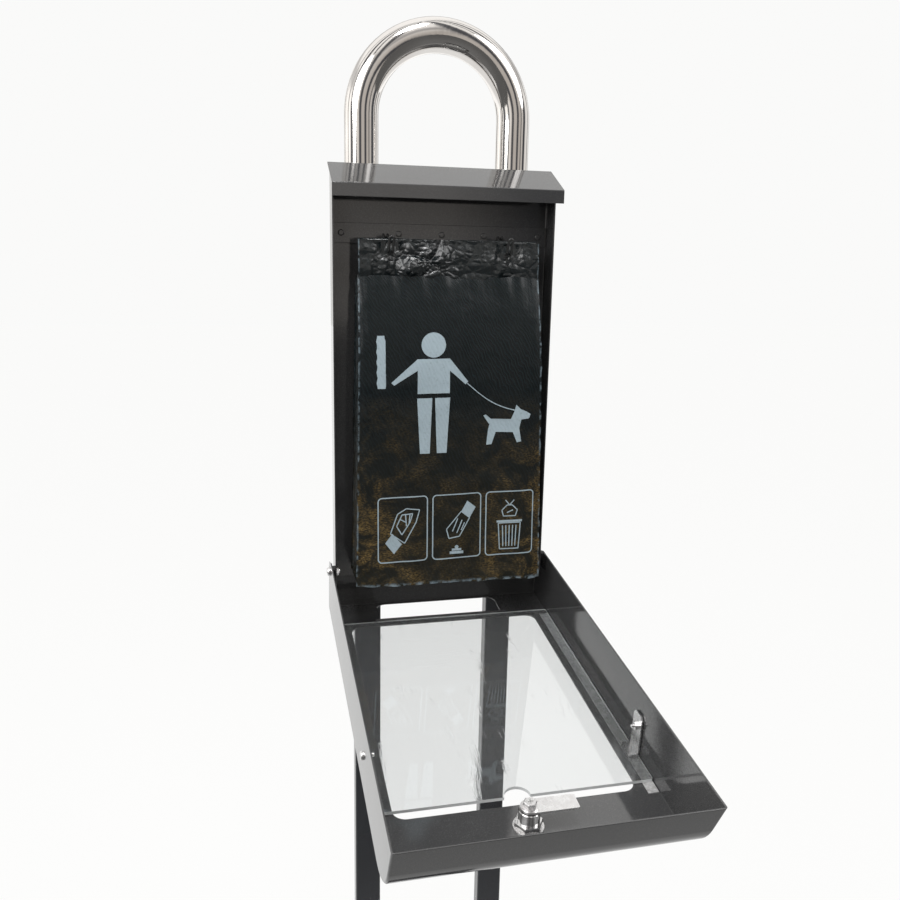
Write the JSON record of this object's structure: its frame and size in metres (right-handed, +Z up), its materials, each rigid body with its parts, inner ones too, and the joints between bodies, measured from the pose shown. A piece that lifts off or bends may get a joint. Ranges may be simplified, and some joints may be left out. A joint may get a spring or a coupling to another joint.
{
  "type": "dog waste bag station",
  "caption": "Post-mounted dog waste bag station: shallow steel cabinet with rain lid, hanging bag pack, fold-down windowed door with bag slot and cam lock, tube arch.",
  "frame": {"origin": "centre of the base plate's underside", "axes": "+Z up, -Y towards the user and the door, +X to the right of a user facing the cabinet"},
  "size_m": [0.3, 0.6188, 1.623],
  "materials": {
    "powder_coat": "satin anthracite powder coat with a fine grain",
    "polished_tube": "polished stainless steel with lengthwise streaks",
    "stainless": "plain stainless steel",
    "zinc": "bright zinc plate",
    "lock_chrome": "polished chrome plate",
    "black_wire": "black coated wire",
    "nylon": "black nylon",
    "clear_pane": "clear acrylic with light scratches",
    "foam_tape": "grey mounting tape seen through the pane",
    "bag_film": "thin black film with pale blue-grey print"
  },
  "bodies": {
    "stand": {"base_plate": "powder_coat", "post_left": "powder_coat", "post_right": "powder_coat", "transition_plates": "stainless", "arch_tube": "polished_tube", "cabinet_shell": "powder_coat", "rain_lid": "powder_coat", "lid_rivets": "powder_coat", "hook_rail": "powder_coat", "rail_rivets": "powder_coat", "hook_left": "black_wire", "hook_right": "black_wire", "cabinet_bolts": "stainless", "cabinet_nuts": "stainless", "bag_stack": "bag_film", "bag_header": "bag_film", "hinge_screws": "zinc", "hinge_spacers": "nylon", "hinge_nuts": "zinc", "crossbar_upper": "powder_coat", "crossbar_middle": "powder_coat", "crossbar_lower": "powder_coat"},
    "door": {"door_tray": "powder_coat", "slot_guide_rod": "powder_coat", "window_pane": "clear_pane", "pane_tape_left": "foam_tape", "pane_tape_right": "foam_tape", "pane_clip_left": "zinc", "pane_clip_right": "zinc", "clip_screws": "zinc", "clip_nuts": "zinc", "lock_body": "lock_chrome", "lock_washer": "zinc", "lock_nut": "lock_chrome"},
    "lock": {"lock_plug": "lock_chrome", "lock_cam": "zinc", "cam_screw": "zinc"}
  },
  "joints": [
    {"name": "door_hinge", "type": "hinge", "parent": "stand", "child": "door", "pos_m": [0, -0.03, 1], "axis": [1, 0, 0], "range_deg": [-96.17, 0]},
    {"name": "lock_turn", "type": "hinge", "parent": "door", "child": "lock", "pos_m": [0, -0.41066, 0.91862], "axis": [0, 0.1075, -0.9942], "range_deg": [0, 90]}
  ]
}
